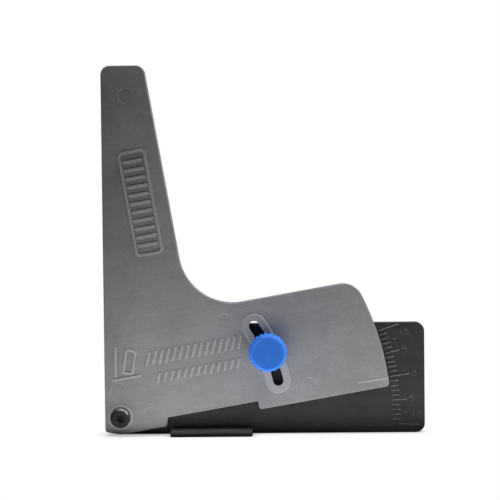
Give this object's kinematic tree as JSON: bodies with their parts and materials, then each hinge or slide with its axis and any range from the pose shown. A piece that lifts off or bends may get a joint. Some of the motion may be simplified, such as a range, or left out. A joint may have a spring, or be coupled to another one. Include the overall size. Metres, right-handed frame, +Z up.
{
  "type": "camber gauge",
  "caption": "Standing angle gauge for model-car wheels: an L-shaped arm tilts on a plate with a degree scale and is locked by a thumb knob in an arc slot.",
  "frame": {"origin": "on the ground, under the middle of the gauge's bounding box with the arm at zero tilt", "axes": "+Z up along the arm's upright edge, +X to the right along the scale plate, -Y towards the user, who faces the scale"},
  "size_m": [0.1204, 0.0224, 0.1389],
  "materials": {
    "black_moulding": "satin glass-filled nylon moulding",
    "grey_moulding": "satin nylon moulding with faint flow marks",
    "blue_moulding": "semi-gloss moulding",
    "black_steel": "black oxide, lightly oiled",
    "plated_steel": "bright zinc plate",
    "natural_nylon": "translucent white"
  },
  "bodies": {
    "base": {"scale_plate": "black_moulding", "pivot_screw": "black_steel", "pivot_locknut": "plated_steel", "locknut_ring": "natural_nylon", "clamp_nut": "plated_steel"},
    "arm": {"gauge_arm": "grey_moulding"},
    "washer": {"clamp_washer": "plated_steel"},
    "knob": {"clamp_knob": "blue_moulding", "clamp_stud": "plated_steel"}
  },
  "joints": [
    {"name": "arm_tilt", "type": "hinge", "parent": "base", "child": "arm", "pos_m": [-0.05432, -0.0015, 0.0069], "axis": [0, 1, 0], "range_deg": [-10, 10]},
    {"name": "knob_travel", "type": "slide", "parent": "base", "child": "washer", "axis": [0, -1, 0], "range_m": [0, 0.00119]},
    {"name": "knob_turn", "type": "hinge", "parent": "washer", "child": "knob", "pos_m": [0.00145, -0.0076, 0.0315], "axis": [0, -1, 0], "range_deg": [0, 540]}
  ],
  "couplings": [
    {"joint": "knob_turn", "follows": "knob_travel", "rad_per_m": 7913.3}
  ]
}
